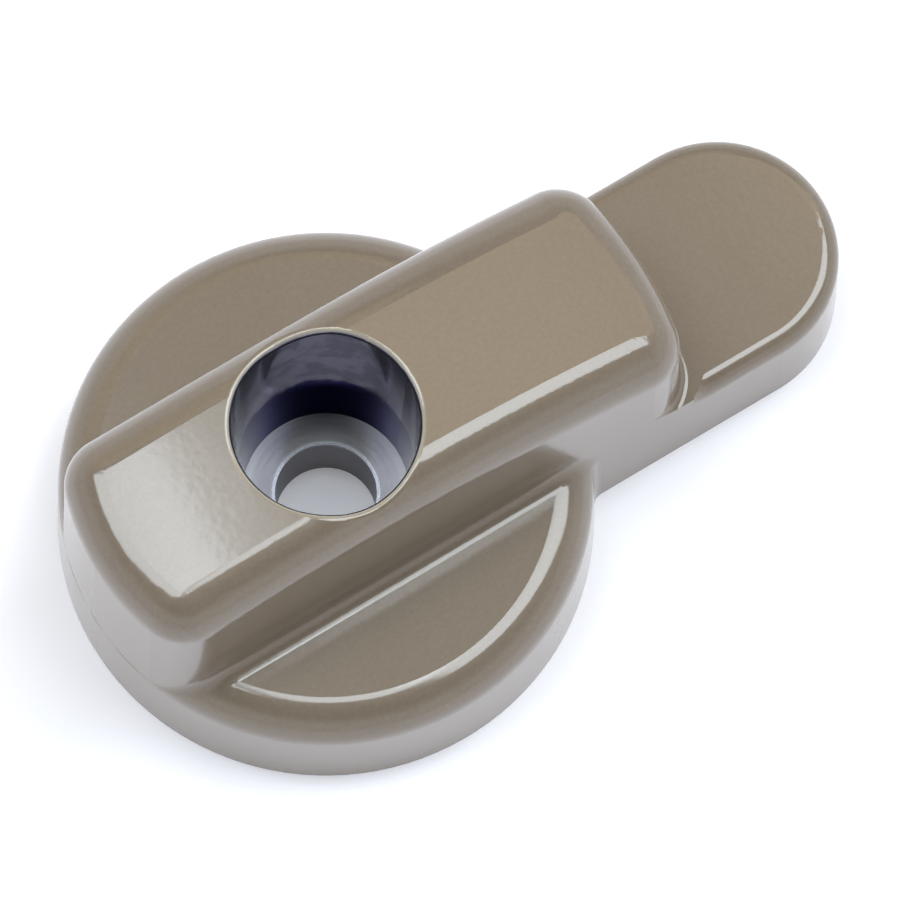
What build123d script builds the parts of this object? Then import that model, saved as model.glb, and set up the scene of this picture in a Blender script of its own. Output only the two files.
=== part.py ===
"""Turn button that locks a screen door: one zinc die casting that turns on its own screw.

A round pad carries a tall finger grip. The grip's back end follows the pad's rim, and its
front end is an arc about the same pivot. A low tongue reaches on from there and laps over
the frame of the screen. The screw head sinks in a deep recess that opens in the grip's top.

Units are millimetres. The origin is on the pivot axis, in the plane that meets the door.
+X points along the tongue, +Z points away from the door.
"""

import os
from math import hypot, radians, tan

from build123d import *

# Whole casting
draft = 2.5                # lean of every outer wall in degrees, so that it leaves the die

# Round pad
pad_radius = 12.5          # at the door
pad_height = 6.3
pad_rim_round = 1.8        # large rounding round the pad's top

# Finger grip across the pad
grip_width = 11.6          # at the door; the tongue has the same side walls
grip_height = 14.3         # at the pivot, the highest place
grip_beyond_pad = 4.85     # from the pad's rim to the grip's front wall, at the door
grip_back_set = 0.01       # how far the grip's back wall stands inside the pad's wall
crown_front_radius = 55    # lengthwise curve of the top, in front of the pivot
crown_back_radius = 125    # the flatter curve behind the pivot
grip_edge_round = 2.0      # all round the grip's top
grip_corner_extra = 0.2    # how much larger the rounding of its upright corners is
foot_fillet = 0.8          # hollow at the grip's foot, all along the top of the pad

# Tongue
tongue_beyond_grip = 9.85  # from the grip's front wall to the tip, at the door
tongue_thickness = 5.6
tongue_edge_round = 0.85
tongue_edge_lead = 0.85    # that rounding begins so far behind the grip's front wall
tongue_edge_fade = 1.0     # and grows to its full size on a curve of this radius
step_fillet = 0.45         # hollow at the foot of the grip's front wall

# Screw seat
bore_diameter = 4.7
recess_mouth_diameter = 8.5
recess_floor_diameter = 7.7
recess_floor_height = 3.6  # the metal left under the screw head
mouth_round = 0.25

# What follows from these
grip_front_radius = pad_radius + grip_beyond_pad
tongue_reach = grip_front_radius + tongue_beyond_grip


def lean(height):
    """How far a wall has moved in at a height above the door."""
    return height * tan(radians(draft))


def make_pad():
    """The round pad, turned from half its section with the rim rounded."""
    top_radius = pad_radius - lean(pad_height)
    corners = [(0, 0), (pad_radius, 0), (top_radius, pad_height), (0, pad_height)]
    section = make_face(Polyline(*corners, close=True))
    rim = section.vertices().group_by(Axis.Y)[-1].sort_by(Axis.X)[-1]
    return revolve(Plane.XZ * fillet(rim, pad_rim_round), Axis.Z)


def grip_plan():
    """The grip's outline at the door: a band from the pad's rim to the front arc."""
    half_length = grip_front_radius + pad_radius
    back_band = Rectangle(half_length, grip_width, align=(Align.MAX, Align.CENTER))
    front_band = Rectangle(half_length, grip_width, align=(Align.MIN, Align.CENTER))
    back = back_band & Circle(pad_radius - grip_back_set)
    plan = back + (front_band & Circle(grip_front_radius))
    return fillet(plan.vertices(), grip_edge_round + grip_corner_extra + lean(grip_height))


def crown_block():
    """Everything below the grip's crowned top, which is level at the pivot."""
    half_length = grip_front_radius + pad_radius
    back = Rectangle(half_length, grip_height, align=(Align.MAX, Align.MIN))
    back &= Pos(0, grip_height - crown_back_radius) * Circle(crown_back_radius)
    front = Rectangle(half_length, grip_height, align=(Align.MIN, Align.MIN))
    front &= Pos(0, grip_height - crown_front_radius) * Circle(crown_front_radius)
    return extrude(Plane.XZ * (back + front), grip_width, both=True)


def make_grip():
    """The grip down to the door, with a ball-shaped rounding all round its top."""
    body = extrude(grip_plan(), grip_height, taper=draft) & crown_block()
    top = [face for face in body.faces() if face.normal_at().Z > 0.7]
    walls = [face for face in body.faces() if abs(face.normal_at().Z) < 0.3]
    wall_edges = [edge for face in walls for edge in face.edges()]
    rim = [edge for face in top for edge in face.edges() if edge in wall_edges]
    return body.fillet(grip_edge_round, rim)


def tongue_prism(height):
    """The tongue's drafted outline from the pivot to its full-round tip."""
    half_width = grip_width / 2
    centre = tongue_reach - half_width
    band = Rectangle(centre, grip_width, align=(Align.MIN, Align.CENTER))
    return extrude(band + Pos(centre, 0) * Circle(half_width), height, taper=draft)


def make_tongue():
    """The tongue, whose edge rounding runs out upwards beside the grip's corners."""
    fade_start = grip_front_radius - tongue_edge_lead
    top = tongue_thickness + tongue_edge_fade
    corner = (Align.MIN, Align.MIN)
    beyond = Rectangle(tongue_reach, top, align=corner)
    hollow = Pos(tongue_edge_fade, top) * Circle(tongue_edge_fade)
    above = Pos(tongue_edge_fade, tongue_thickness) * Rectangle(tongue_reach, top, align=corner)
    side_view = Pos(fade_start, 0) * (beyond - hollow - above)
    envelope = tongue_prism(top) & extrude(Plane.XZ * side_view, grip_width, both=True)
    upper = [face for face in envelope.faces() if face.normal_at().Z > 0.3]
    walls = [face for face in envelope.faces() if abs(face.normal_at().Z) < 0.3]
    outer_walls = [face for face in walls if face.center().X > fade_start + tongue_edge_fade]
    wall_edges = [edge for face in outer_walls for edge in face.edges()]
    rim = [edge for face in upper for edge in face.edges() if edge in wall_edges]
    rounded = envelope.fillet(tongue_edge_round, rim)
    plain = tongue_prism(tongue_thickness)
    root = Box(fade_start, grip_width, tongue_thickness, align=(Align.MIN, Align.CENTER, Align.MIN))
    return (plain & root) + (plain & rounded)


def foot_edges(body):
    """The straight lines where the grip's side walls meet the top of the pad."""
    level = [edge for edge in body.edges() if abs(edge.center().Z - pad_height) < 1e-4]
    return [edge for edge in level if edge.geom_type == GeomType.LINE]


def step_edge(body):
    """The arc where the grip's front wall meets the top of the tongue."""
    radius = grip_front_radius - lean(tongue_thickness)
    middle = Vector(radius, 0, tongue_thickness)
    return [edge for edge in body.edges() if (edge @ 0.5 - middle).length < 1e-3]


def make_casting():
    """The pad, grip and tongue in one, with the hollows between them, the same on both sides."""
    body = make_pad() + make_grip() + make_tongue()
    body = body.fillet(step_fillet, step_edge(body))
    body = body.fillet(foot_fillet, foot_edges(body))
    near_half = split(body, bisect_by=Plane.XZ, keep=Keep.TOP)
    return near_half + mirror(near_half, Plane.XZ)


def screw_seat():
    """The room for the screw: a bore through the base and a tapered recess for its head."""
    depth = grip_height - recess_floor_height
    spread = (recess_mouth_diameter - recess_floor_diameter) / 2
    section = make_face(Polyline(
        (0, recess_floor_height),
        (recess_floor_diameter / 2, recess_floor_height),
        (recess_mouth_diameter / 2 + spread, grip_height + depth),
        (0, grip_height + depth),
        close=True,
    ))
    bore = Cylinder(bore_diameter / 2, grip_height, align=(Align.CENTER, Align.CENTER, Align.MIN))
    return revolve(Plane.XZ * section, Axis.Z) + bore


def mouth_edges(body):
    """The edges round the mouth of the recess, in the grip's top."""
    found = []
    for edge in body.edges():
        middle = edge @ 0.5
        off_axis = hypot(middle.X, middle.Y)
        if middle.Z > recess_floor_height and abs(off_axis - recess_mouth_diameter / 2) < 0.1:
            found.append(edge)
    return found


def make_turn_button():
    """The finished casting, with the screw's bore and recess."""
    body = make_casting() - screw_seat()
    return body.fillet(mouth_round, mouth_edges(body))


if __name__ == "__main__":
    os.makedirs("parts", exist_ok=True)
    export_step(make_turn_button(), "parts/turn_button.step")
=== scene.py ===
"""Looks, lights and camera for a turn button, the small die-cast lock of a screen door.

The casting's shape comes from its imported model. This file gives it its finish and stage.
Units are metres. The origin is on the pivot axis, in the plane that meets the door, with
+X along the tongue and +Z away from the door.
"""

import math

import bmesh
import bpy
from bpy.props import FloatProperty, FloatVectorProperty, PointerProperty
from mathutils import Matrix, Vector

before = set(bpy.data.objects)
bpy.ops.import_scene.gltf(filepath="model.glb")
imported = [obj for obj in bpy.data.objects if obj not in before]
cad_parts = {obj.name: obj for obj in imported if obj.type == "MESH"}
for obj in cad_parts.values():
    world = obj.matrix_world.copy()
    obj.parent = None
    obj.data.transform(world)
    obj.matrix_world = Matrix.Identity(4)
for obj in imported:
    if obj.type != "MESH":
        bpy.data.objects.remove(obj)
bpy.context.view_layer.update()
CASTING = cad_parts["turn_button"]

bl_info = {
    "name": "Screen door turn button",
    "version": (1, 0, 0),
    "blender": (4, 5, 0),
    "location": "3D View > Sidebar > Turn Button",
    "description": "Finishes a die-cast turn button and sets it on a small studio stage",
    "category": "Object",
}

SENSOR_WIDTH = 36  # of the camera, in millimetres
CLIP_START = 0.01  # the camera sees nothing nearer than this
PAPER_REACH = 1.5  # from the casting to each edge of the paper

# Each soft lamp: its name, its lean to the right and away, its width and depth, its spin, its
# share of the lamp strength and the setting that holds its colour. Angles are in degrees.
PANELS = (
    ("right_softbox", (23.8, 10.9), (36, 25), 38.5, 1.0, "lamp_colour"),
    ("left_softbox", (-22, 5), (31, 20), 0, 0.93, "lamp_colour"),
    ("left_spill", (-5.9, 10.3), (6, 14), 0, 0.45, "lamp_colour"),
    ("middle_panel", (1, 4), (9, 9), 0, 1.0, "lamp_colour"),
    ("far_wood", (25, 33.4), (42, 10), 31, 0.18, "wood_colour"),
    ("far_left_wood", (-22, 36), (46, 24), -15, 0.09, "wood_colour"),
)


def linear(code):
    """The linear colour of an sRGB hex code."""
    parts = [int(code[i:i + 2], 16) / 255 for i in (1, 3, 5)]
    return tuple(c / 12.92 if c <= 0.04045 else ((c + 0.055) / 1.055) ** 2.4 for c in parts)


class TURNBUTTON_PG_finish(bpy.types.PropertyGroup):
    """Colours and sizes of the casting's coated outside and of its bare screw seat."""

    coat_dark: FloatVectorProperty(
        name="Coating, darker", description="Taupe of the lacquer where it lies thicker",
        subtype="COLOR", min=0, max=1, default=linear("#756858"))
    coat_light: FloatVectorProperty(
        name="Coating, lighter", description="Taupe of the lacquer where it lies thinner",
        subtype="COLOR", min=0, max=1, default=linear("#7a6d5d"))
    edge_colour: FloatVectorProperty(
        name="Thin edge", description="Pale edge of the lacquer round the recess's mouth",
        subtype="COLOR", min=0, max=1, default=linear("#a39b89"))
    wall_dark: FloatVectorProperty(
        name="Recess wall, stained", description="Zinc of the recess's wall where it is stained",
        subtype="COLOR", min=0, max=1, default=linear("#7a7886"))
    wall_light: FloatVectorProperty(
        name="Recess wall, clean", description="Dark, mirror-smooth zinc of the recess's wall",
        subtype="COLOR", min=0, max=1, default=linear("#8f8d9b"))
    # Painted shade and dark reflection at the foot of the recess's wall, drawn as a dark colour
    foot_shade_colour: FloatVectorProperty(
        name="Foot of the wall", description="Zinc darkened by oil at the foot of the wall",
        subtype="COLOR", min=0, max=1, default=linear("#1c1c55"))
    floor_colour: FloatVectorProperty(
        name="Recess floor", description="Paler, duller zinc where the screw's head bears",
        subtype="COLOR", min=0, max=1, default=linear("#8a8887"))
    # Painted highlight: a bright ring round the bore's edge, drawn as a pale colour
    ring_highlight_colour: FloatVectorProperty(
        name="Bore's edge", description="Bright ring where the bore's edge has been rubbed",
        subtype="COLOR", min=0, max=1, default=linear("#aeadb3"))
    glance_colour: FloatVectorProperty(
        name="Glancing tint", description="Stained zinc mirrors less than clean zinc at a slant",
        subtype="COLOR", min=0, max=1, default=linear("#b3b3b8"))
    lacquer_metallic: FloatProperty(
        name="Flakes' share", description="How much of the lacquer is metal flake",
        subtype="FACTOR", min=0, max=1, default=0.15)
    zinc_metallic: FloatProperty(
        name="Bare metal's share", description="How much of the screw seat is free of dirt",
        subtype="FACTOR", min=0, max=1, default=0.88)
    floor_roughness: FloatProperty(
        name="Floor roughness", description="The duller floor of the recess",
        subtype="FACTOR", min=0, max=1, default=0.27)
    floor_height: FloatProperty(
        name="Floor height", description="The recess's wall starts at this height",
        subtype="DISTANCE", unit="LENGTH", default=0.00365)
    # The painted shade at the foot of the wall reaches up to this height
    foot_shade_height: FloatProperty(
        name="Foot height", description="The wall is darkened by oil up to this height",
        subtype="DISTANCE", unit="LENGTH", default=0.0081)
    # The painted highlight ring round the bore ends at this distance
    ring_highlight_radius: FloatProperty(
        name="Ring radius", description="The bright ring round the bore ends at this distance",
        subtype="DISTANCE", unit="LENGTH", default=0.0025)
    seat_radius: FloatProperty(
        name="Seat radius", description="The coating ends at this distance from the pivot axis",
        subtype="DISTANCE", unit="LENGTH", default=0.00433)
    worn_radius: FloatProperty(
        name="Pale edge radius", description="The coating's pale edge ends at this distance",
        subtype="DISTANCE", unit="LENGTH", default=0.00446)
    bore_radius: FloatProperty(
        name="Bore radius", description="The underside is bare only this far from the axis",
        subtype="DISTANCE", unit="LENGTH", default=0.0024)
    smooth_back: FloatProperty(
        name="Smooth back", description="The orange peel fades out just behind this place",
        subtype="DISTANCE", unit="LENGTH", default=-0.0098)
    drift_size: FloatProperty(
        name="Drift size", description="From one drift of tone in the lacquer to the next",
        subtype="DISTANCE", unit="LENGTH", min=0.0001, precision=6, default=0.005556)
    flake_size: FloatProperty(
        name="Flake size", description="From one metal flake in the lacquer to the next",
        subtype="DISTANCE", unit="LENGTH", min=0.00001, precision=6, default=0.0001923)
    stain_size: FloatProperty(
        name="Stain size", description="From one stain on the recess's wall to the next",
        subtype="DISTANCE", unit="LENGTH", min=0.0001, precision=6, default=0.001111)
    peel_size: FloatProperty(
        name="Orange peel size", description="From crest to crest of the lacquer's orange peel",
        subtype="DISTANCE", unit="LENGTH", min=0.00001, precision=6, default=0.0003846)
    tool_pitch: FloatProperty(
        name="Tool rings' pitch", description="From one tool ring in the seat to the next",
        subtype="DISTANCE", unit="LENGTH", min=0.00001, precision=6, default=0.000349)
    relief_depth: FloatProperty(
        name="Relief depth", description="Depth of the orange peel",
        subtype="DISTANCE", unit="LENGTH", min=0, precision=6, default=0.000005)


class TURNBUTTON_PG_stage(bpy.types.PropertyGroup):
    """Where the camera stands, and the lamps and floor round the casting."""

    azimuth: FloatProperty(
        name="Azimuth", description="How far the camera has gone from the near side to the back",
        subtype="ANGLE", unit="ROTATION", default=math.radians(34.905))
    elevation: FloatProperty(
        name="Elevation", description="The camera's height above the door's plane, as an angle",
        subtype="ANGLE", unit="ROTATION", default=math.radians(72.389))
    roll: FloatProperty(
        name="Roll", description="Turn of the picture about the line of sight",
        subtype="ANGLE", unit="ROTATION", default=math.radians(3.234))
    distance: FloatProperty(
        name="Distance", description="From the aim to the camera", subtype="DISTANCE",
        unit="LENGTH", default=0.30396)
    lens: FloatProperty(
        name="Lens", description="Focal length in millimetres", subtype="DISTANCE_CAMERA",
        unit="CAMERA", default=259.98)
    aim: FloatVectorProperty(
        name="Aim", description="The point in the middle of the picture", subtype="XYZ",
        unit="LENGTH", default=(0.006623, -0.000288, 0.0))
    lamp_distance: FloatProperty(
        name="Lamp distance", description="From the casting to each soft lamp",
        subtype="DISTANCE", unit="LENGTH", default=1.0)
    lamp_strength: FloatProperty(
        name="Lamp strength", description="Brightness of the lamps' faces, where one is white",
        subtype="FACTOR", min=0, soft_max=10, default=7.0)
    lamp_colour: FloatVectorProperty(
        name="Lamp colour", description="Slightly cool daylight", subtype="COLOR",
        min=0, max=1, default=linear("#edf6fc"))
    wood_colour: FloatVectorProperty(
        name="Far panel colour", description="Warm light back from the room's far side",
        subtype="COLOR", min=0, max=1, default=linear("#ffdfae"))
    wall_colour: FloatVectorProperty(
        name="Walls", description="Pale walls low round the stage", subtype="COLOR",
        min=0, max=1, default=linear("#f6f7fa"))
    room_colour: FloatVectorProperty(
        name="Ceiling", description="The dim ceiling behind the lamps", subtype="COLOR",
        min=0, max=1, default=linear("#45474c"))
    wall_top: FloatProperty(
        name="Top of the walls", description="Above this angle the walls begin to grow dim",
        subtype="ANGLE", unit="ROTATION", default=math.asin(0.33))
    ceiling_foot: FloatProperty(
        name="Foot of the ceiling", description="Above this angle all is as dim as the ceiling",
        subtype="ANGLE", unit="ROTATION", default=math.asin(0.76))
    paper_colour: FloatVectorProperty(
        name="Paper", description="Matt white paper under the casting", subtype="COLOR",
        min=0, max=1, default=linear("#f3f2f7"))
    paper_glow: FloatProperty(
        name="Paper glow", description="Lifts the paper to white where it is seen",
        subtype="FACTOR", min=0, max=1, default=0.18)
    paper_gap: FloatProperty(
        name="Paper gap", description="Keeps the paper and the underside out of one plane",
        subtype="DISTANCE", unit="LENGTH", min=0, precision=6, default=0.00002)


def add_node(tree, kind, settings=None, **inputs):
    """A new shader node with its settings, and its inputs set or linked by name or number."""
    node = tree.nodes.new(kind)
    for name, value in (settings or {}).items():
        setattr(node, name, value)
    for name, value in inputs.items():
        key = int(name[1:]) if name[0] == "_" else name.replace("_", " ")
        if isinstance(value, bpy.types.NodeSocket):
            tree.links.new(value, node.inputs[key])
        else:
            node.inputs[key].default_value = value
    return node


def new_material(name):
    """An empty node material and its tree."""
    material = bpy.data.materials.new(name)
    material.use_nodes = True
    material.node_tree.nodes.clear()
    return material, material.node_tree


def seat_mask(tree, height, radius, finish):
    """One inside the bore and the recess, where the coating ends, and zero outside."""
    underside = 0.001  # the bore's own limit holds up to this height
    blur = 0.00003     # half the width of the coating's cut edge
    limit = add_node(tree, "ShaderNodeMapRange", Value=height, From_Min=underside,
                     From_Max=underside + 0.0001, To_Min=finish.bore_radius,
                     To_Max=finish.seat_radius)
    inside = add_node(tree, "ShaderNodeMath", {"operation": "SUBTRACT"}, _0=limit.outputs[0],
                      _1=radius)
    mask = add_node(tree, "ShaderNodeMapRange", {"interpolation_type": "SMOOTHSTEP"},
                    Value=inside.outputs[0], From_Min=-blur, From_Max=blur)
    return mask.outputs[0]


def lacquer_surface(tree, place, radius, finish):
    """The lacquer's colour and the roughness of the flakes under its gloss."""
    cloud = add_node(tree, "ShaderNodeTexNoise", Vector=place, Scale=1 / finish.drift_size,
                     Detail=3, Roughness=0.55)
    tone = add_node(tree, "ShaderNodeMix", {"data_type": "RGBA"}, _0=cloud.outputs["Fac"],
                    _6=(*finish.coat_dark, 1), _7=(*finish.coat_light, 1))
    # The metal flakes are drawn 0.2 mm apart, about five times coarser than real ones
    flake = add_node(tree, "ShaderNodeTexNoise", Vector=place, Scale=1 / finish.flake_size,
                     Detail=2, Roughness=0.6)
    glint = add_node(tree, "ShaderNodeMapRange", Value=flake.outputs["Fac"], From_Min=0.3,
                     From_Max=0.7, To_Min=0.94, To_Max=1.06)
    lively = add_node(tree, "ShaderNodeVectorMath", {"operation": "SCALE"},
                      Vector=tone.outputs[2], Scale=glint.outputs[0])
    # It thins to a pale line round the recess's mouth
    blur = 0.0001
    worn = add_node(tree, "ShaderNodeMapRange", {"interpolation_type": "SMOOTHSTEP"},
                    Value=radius, From_Min=finish.worn_radius + blur,
                    From_Max=finish.worn_radius - blur)
    colour = add_node(tree, "ShaderNodeMix", {"data_type": "RGBA"}, _0=worn.outputs[0],
                      _6=lively.outputs[0], _7=(*finish.edge_colour, 1))
    roughness = add_node(tree, "ShaderNodeMapRange", Value=flake.outputs["Fac"], To_Min=0.42,
                         To_Max=0.58)
    return colour.outputs[2], roughness.outputs[0]


def zinc_surface(tree, place, height, radius, finish):
    """The bare zinc's colour and roughness, on the recess's wall and floor and in the bore."""
    # Stains on the wall
    blot = add_node(tree, "ShaderNodeTexNoise", Vector=place, Scale=1 / finish.stain_size,
                    Detail=3, Roughness=0.6)
    stain = add_node(tree, "ShaderNodeMapRange", {"interpolation_type": "SMOOTHSTEP"},
                     Value=blot.outputs["Fac"], From_Min=0.58, From_Max=0.42)
    wall = add_node(tree, "ShaderNodeMix", {"data_type": "RGBA"}, _0=stain.outputs[0],
                    _6=(*finish.wall_light, 1), _7=(*finish.wall_dark, 1))
    # Painted shade and dark reflection along the wall's foot, drawn as a dark colour whose upper
    # edge wanders a little with the stains
    sway = 0.001
    blur = 0.0003
    wander = add_node(tree, "ShaderNodeMath", {"operation": "MULTIPLY_ADD"},
                      _0=blot.outputs["Fac"], _1=sway, _2=height)
    foot = add_node(tree, "ShaderNodeMapRange", {"interpolation_type": "SMOOTHSTEP"},
                    Value=wander.outputs[0], From_Min=finish.foot_shade_height + sway / 2 + blur,
                    From_Max=finish.foot_shade_height + sway / 2 - blur)
    foot_shaded = add_node(tree, "ShaderNodeMix", {"data_type": "RGBA"}, _0=foot.outputs[0],
                     _6=wall.outputs[2], _7=(*finish.foot_shade_colour, 1))
    # The floor and the bore
    low = add_node(tree, "ShaderNodeMapRange", Value=height,
                   From_Min=finish.floor_height + 0.00005, From_Max=finish.floor_height)
    bare = add_node(tree, "ShaderNodeMix", {"data_type": "RGBA"}, _0=low.outputs[0],
                    _6=foot_shaded.outputs[2], _7=(*finish.floor_colour, 1))
    # Painted highlight: the bright ring on the floor, which ends a little below the bore's edge
    fade = 0.00004
    drop = 0.0002
    near = add_node(tree, "ShaderNodeMapRange", {"interpolation_type": "SMOOTHSTEP"},
                    Value=radius, From_Min=finish.ring_highlight_radius + fade,
                    From_Max=finish.ring_highlight_radius - fade)
    above = add_node(tree, "ShaderNodeMapRange", Value=height,
                     From_Min=finish.floor_height - drop - 0.0001,
                     From_Max=finish.floor_height - drop)
    ring = add_node(tree, "ShaderNodeMath", {"operation": "MULTIPLY"}, _0=near.outputs[0],
                    _1=above.outputs[0])
    colour = add_node(tree, "ShaderNodeMix", {"data_type": "RGBA"}, _0=ring.outputs[0],
                      _6=bare.outputs[2], _7=(*finish.ring_highlight_colour, 1))
    mirror = add_node(tree, "ShaderNodeMapRange", Value=stain.outputs[0], To_Min=0.06,
                      To_Max=0.1)
    roughness = add_node(tree, "ShaderNodeMix", _0=low.outputs[0], _2=mirror.outputs[0],
                         _3=finish.floor_roughness)
    return colour.outputs[2], roughness.outputs[0]


def surface_relief(tree, place, along, seat, finish):
    """Normals of the lacquer's orange peel, and of the faint tool rings in the seat."""
    peel = add_node(tree, "ShaderNodeTexNoise", Vector=place, Scale=1 / finish.peel_size,
                    Detail=1, Roughness=0.5)
    # The orange peel fades out on the back end, where it would deepen the faint line that the
    # mesh has up its middle
    fade = add_node(tree, "ShaderNodeMapRange", {"interpolation_type": "SMOOTHSTEP"},
                    Value=along, From_Min=finish.smooth_back - 0.001,
                    From_Max=finish.smooth_back)
    peeled = add_node(tree, "ShaderNodeMath", {"operation": "MULTIPLY"}, _0=fade.outputs[0],
                      _1=peel.outputs["Fac"])
    # A wave texture of scale one has its rings pi / 10 apart
    rings = add_node(tree, "ShaderNodeTexWave", {"wave_type": "RINGS", "rings_direction": "Z"},
                     Vector=place, Scale=math.pi / 10 / finish.tool_pitch, Distortion=0.3)
    faint = add_node(tree, "ShaderNodeMapRange", Value=rings.outputs["Fac"], To_Max=0.2)
    relief = add_node(tree, "ShaderNodeMix", _0=seat, _2=peeled.outputs[0],
                      _3=faint.outputs[0])
    bump = add_node(tree, "ShaderNodeBump", Height=relief.outputs[0], Strength=0.5,
                    Distance=finish.relief_depth)
    return bump.outputs[0]


def lacquered_zinc_material(finish):
    """Die-cast zinc under a baked metallic lacquer, with a screw seat cut after coating.

    The lacquer gives an even taupe with a clear gloss over it. Its fine orange peel breaks the
    edges of the highlights, and it thins to a pale line where it was cut at the recess's mouth.
    The cut seat is bare zinc. Its wall is smooth as a mirror and faintly stained, with painted
    shade and dark reflection along its foot. Its floor is duller and paler, with a bright
    painted highlight ring round the bore's edge, and faint tool rings show all over it.
    """
    material, tree = new_material("baked_lacquer_on_die_cast_zinc")
    place = add_node(tree, "ShaderNodeTexCoord").outputs["Object"]
    along, _, height = add_node(tree, "ShaderNodeSeparateXYZ", Vector=place).outputs
    level = add_node(tree, "ShaderNodeMapping", Vector=place, Scale=(1, 1, 0))
    radius = add_node(tree, "ShaderNodeVectorMath", {"operation": "LENGTH"},
                      Vector=level.outputs[0]).outputs["Value"]
    seat = seat_mask(tree, height, radius, finish)
    lacquer, flake_roughness = lacquer_surface(tree, place, radius, finish)
    zinc, zinc_roughness = zinc_surface(tree, place, height, radius, finish)
    normal = surface_relief(tree, place, along, seat, finish)

    colour = add_node(tree, "ShaderNodeMix", {"data_type": "RGBA"}, _0=seat, _6=lacquer,
                      _7=zinc)
    roughness = add_node(tree, "ShaderNodeMix", _0=seat, _2=flake_roughness,
                         _3=zinc_roughness)
    metallic = add_node(tree, "ShaderNodeMapRange", Value=seat,
                        To_Min=finish.lacquer_metallic, To_Max=finish.zinc_metallic)
    coat = add_node(tree, "ShaderNodeMapRange", Value=seat, To_Min=1, To_Max=0)
    surface = add_node(tree, "ShaderNodeBsdfPrincipled", Base_Color=colour.outputs[2],
                       Metallic=metallic.outputs[0], Roughness=roughness.outputs[0],
                       Coat_Weight=coat.outputs[0], Normal=normal, Coat_Normal=normal,
                       Coat_Roughness=0.11, Coat_IOR=1.6, Specular_IOR_Level=0.5,
                       Specular_Tint=(*finish.glance_colour, 1))
    add_node(tree, "ShaderNodeOutputMaterial", Surface=surface.outputs[0])
    return material


class TURNBUTTON_OT_finish(bpy.types.Operator):
    """Give the casting its coated and bare surfaces"""

    bl_idname = "turnbutton.finish"
    bl_label = "Finish the casting"

    def execute(self, context):
        material = lacquered_zinc_material(context.scene.turn_button_finish)
        if not CASTING.material_slots:
            raise RuntimeError("The casting has no material slot")
        for slot in CASTING.material_slots:
            slot.material = material
        return {"FINISHED"}


def paper_material(stage):
    """Matt white paper, with a faint glow that only the camera and mirrored rays see."""
    material, tree = new_material("white_paper")
    matt = add_node(tree, "ShaderNodeBsdfDiffuse", Color=(*stage.paper_colour, 1))
    path = add_node(tree, "ShaderNodeLightPath")
    mirrored = add_node(tree, "ShaderNodeMath", {"operation": "MAXIMUM"},
                        _0=path.outputs["Is Glossy Ray"],
                        _1=path.outputs["Is Transmission Ray"])
    seen = add_node(tree, "ShaderNodeMath", {"operation": "MAXIMUM"},
                    _0=path.outputs["Is Camera Ray"], _1=mirrored.outputs[0])
    level = add_node(tree, "ShaderNodeMath", {"operation": "MULTIPLY"}, _0=seen.outputs[0],
                     _1=stage.paper_glow)
    glow = add_node(tree, "ShaderNodeEmission", Color=(1, 1, 1, 1), Strength=level.outputs[0])
    both = add_node(tree, "ShaderNodeAddShader", _0=matt.outputs[0], _1=glow.outputs[0])
    add_node(tree, "ShaderNodeOutputMaterial", Surface=both.outputs[0])
    return material


def add_floor(stage):
    """A wide sheet of paper, a hair's breadth under the casting."""
    mesh = bpy.data.meshes.new("paper")
    shape = bmesh.new()
    bmesh.ops.create_grid(shape, x_segments=1, y_segments=1, size=PAPER_REACH)
    shape.to_mesh(mesh)
    shape.free()
    floor = bpy.data.objects.new("paper", mesh)
    floor.location.z = -stage.paper_gap
    bpy.context.scene.collection.objects.link(floor)
    floor.data.materials.append(paper_material(stage))


def camera_frame(stage):
    """The picture's right, up and backward directions."""
    level = math.cos(stage.elevation)
    backward = Vector((-math.sin(stage.azimuth) * level, -math.cos(stage.azimuth) * level,
                       math.sin(stage.elevation)))
    right = Vector((0, 0, 1)).cross(backward).normalized()
    turn = Matrix.Rotation(stage.roll, 3, backward)
    return turn @ right, turn @ backward.cross(right), backward


def add_camera(stage):
    """The camera, aimed without shift."""
    right, upward, backward = camera_frame(stage)
    camera = bpy.data.objects.new("camera", bpy.data.cameras.new("camera"))
    place = Matrix((right, upward, backward)).transposed().to_4x4()
    place.translation = Vector(stage.aim) + backward * stage.distance
    camera.matrix_world = place
    camera.data.sensor_width = SENSOR_WIDTH
    camera.data.lens = stage.lens
    camera.data.clip_start = CLIP_START
    bpy.context.scene.collection.objects.link(camera)
    bpy.context.scene.camera = camera


def add_panel(stage, name, lean, size, spin, part, colour_setting):
    """A soft lamp overhead, leaning to the picture's right and away from the camera.

    The lean, the size and the spin are angles as seen from the casting, in degrees, and the
    part is its share of the full lamp strength.
    """
    right = camera_frame(stage)[0]
    across = Vector((right.x, right.y, 0)).normalized()
    away = Vector((0, 0, 1)).cross(across)
    toward = (across * math.tan(math.radians(lean[0])) + away * math.tan(math.radians(lean[1]))
              + Vector((0, 0, 1))).normalized()
    side = (across - toward * across.dot(toward)).normalized()
    side = Matrix.Rotation(math.radians(spin), 3, toward) @ side
    lamp = bpy.data.lights.new(name, "AREA")
    lamp.shape = "RECTANGLE"
    lamp.size, lamp.size_y = (2 * stage.lamp_distance * math.tan(math.radians(angle) / 2)
                              for angle in size)
    lamp.color = getattr(stage, colour_setting)
    lamp.energy = part * stage.lamp_strength * math.pi * lamp.size * lamp.size_y
    panel = bpy.data.objects.new(name, lamp)
    place = Matrix((side, toward.cross(side), toward)).transposed().to_4x4()
    place.translation = toward * stage.lamp_distance
    panel.matrix_world = place
    bpy.context.scene.collection.objects.link(panel)


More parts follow.
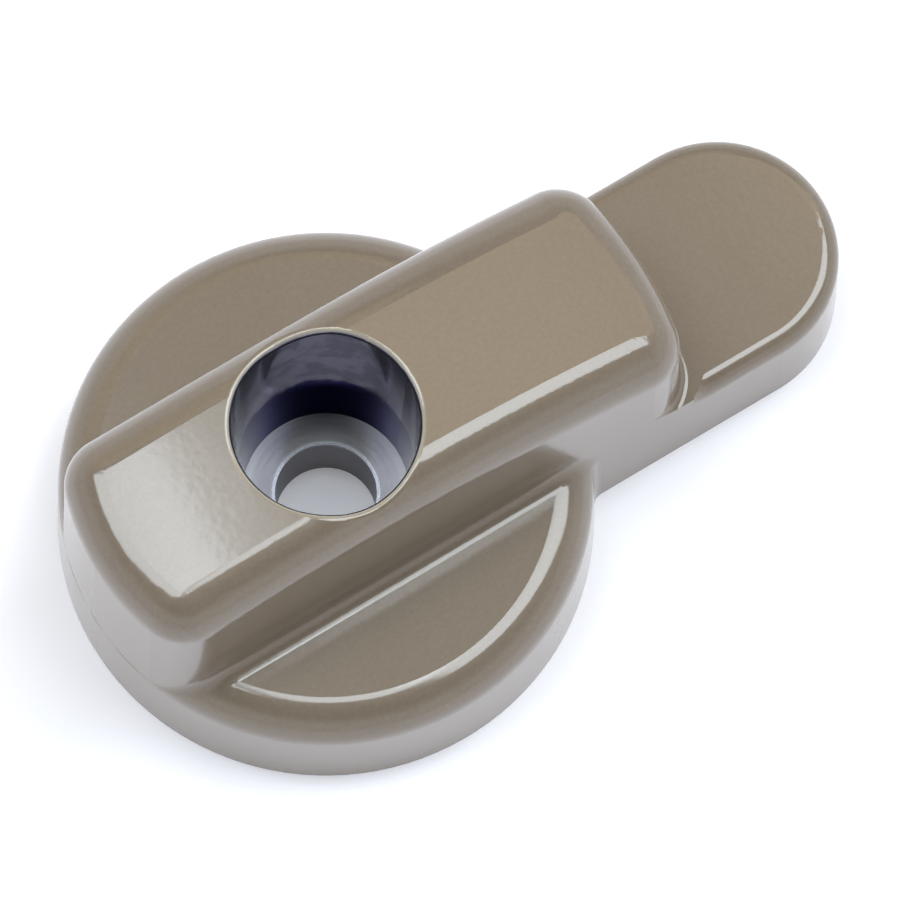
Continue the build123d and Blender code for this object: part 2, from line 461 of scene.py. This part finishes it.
def add_room(stage):
    """The room round the stage: pale walls that give way to a dim ceiling."""
    world = bpy.data.worlds.new("room")
    world.use_nodes = True
    tree = world.node_tree
    tree.nodes.clear()
    toward = add_node(tree, "ShaderNodeTexCoord").outputs["Generated"]
    apart = add_node(tree, "ShaderNodeSeparateXYZ", Vector=toward)
    height = add_node(tree, "ShaderNodeMapRange", {"interpolation_type": "SMOOTHSTEP"},
                      Value=apart.outputs["Z"], From_Min=math.sin(stage.wall_top),
                      From_Max=math.sin(stage.ceiling_foot))
    shade = add_node(tree, "ShaderNodeMix", {"data_type": "RGBA"}, _0=height.outputs[0],
                     _6=(*stage.wall_colour, 1), _7=(*stage.room_colour, 1))
    room = add_node(tree, "ShaderNodeBackground", Color=shade.outputs[2], Strength=1)
    add_node(tree, "ShaderNodeOutputWorld", Surface=room.outputs[0])
    bpy.context.scene.world = world


class TURNBUTTON_OT_stage(bpy.types.Operator):
    """Set up the paper, the lamps, the room and the camera"""

    bl_idname = "turnbutton.stage"
    bl_label = "Set up the stage"

    def execute(self, context):
        stage = context.scene.turn_button_stage
        if stage.distance <= 0 or stage.lamp_distance <= 0:
            raise RuntimeError("The camera and the lamps need room in front of the casting")
        add_floor(stage)
        add_camera(stage)
        for panel in PANELS:
            add_panel(stage, *panel)
        add_room(stage)
        context.scene.view_settings.view_transform = "Standard"
        return {"FINISHED"}


class TURNBUTTON_PT_panel(bpy.types.Panel):
    """Lists the settings and the steps that make the picture"""

    bl_idname = "TURNBUTTON_PT_panel"
    bl_label = "Turn Button"
    bl_space_type = "VIEW_3D"
    bl_region_type = "UI"
    bl_category = "Turn Button"

    def draw(self, context):
        for settings, step in (
            (context.scene.turn_button_finish, "turnbutton.finish"),
            (context.scene.turn_button_stage, "turnbutton.stage"),
        ):
            box = self.layout.box()
            for name in settings.__annotations__:
                box.prop(settings, name)
            box.operator(step)


CLASSES = (
    TURNBUTTON_PG_finish,
    TURNBUTTON_PG_stage,
    TURNBUTTON_OT_finish,
    TURNBUTTON_OT_stage,
    TURNBUTTON_PT_panel,
)


def register():
    for cls in CLASSES:
        bpy.utils.register_class(cls)
    bpy.types.Scene.turn_button_finish = PointerProperty(type=TURNBUTTON_PG_finish)
    bpy.types.Scene.turn_button_stage = PointerProperty(type=TURNBUTTON_PG_stage)


def unregister():
    del bpy.types.Scene.turn_button_stage
    del bpy.types.Scene.turn_button_finish
    for cls in reversed(CLASSES):
        bpy.utils.unregister_class(cls)


def main():
    register()
    bpy.ops.turnbutton.finish()
    bpy.ops.turnbutton.stage()


if __name__ == "__main__":
    main()
